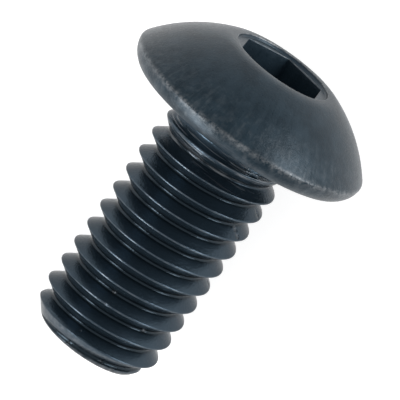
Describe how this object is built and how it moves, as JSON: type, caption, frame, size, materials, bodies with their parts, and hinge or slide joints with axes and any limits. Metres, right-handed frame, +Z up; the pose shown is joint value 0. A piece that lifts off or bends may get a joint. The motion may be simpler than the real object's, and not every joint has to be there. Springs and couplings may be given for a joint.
{
  "type": "button head hex socket cap screw",
  "caption": "Low domed button head screw with a hexagon socket, a short neck, a fully threaded right-hand shank and a chamfered tip, lying on its side.",
  "frame": {"origin": "on the floor, under the middle of the box round the screw as it lies", "axes": "+Z up from the floor; the screw's axis lies over the X axis with the head towards +X, and rises towards the head by about 13.5 degrees, because the wide rim of the head and the last full crest of the thread touch the floor"},
  "size_m": [0.0128, 0.0092, 0.009],
  "materials": {
    "black_oxide_steel": "satin blue-black oxide on alloy steel, slightly mottled, a little lighter on worn edges"
  },
  "bodies": {
    "root": {"cap_screw": "black_oxide_steel"}
  },
  "joints": []
}
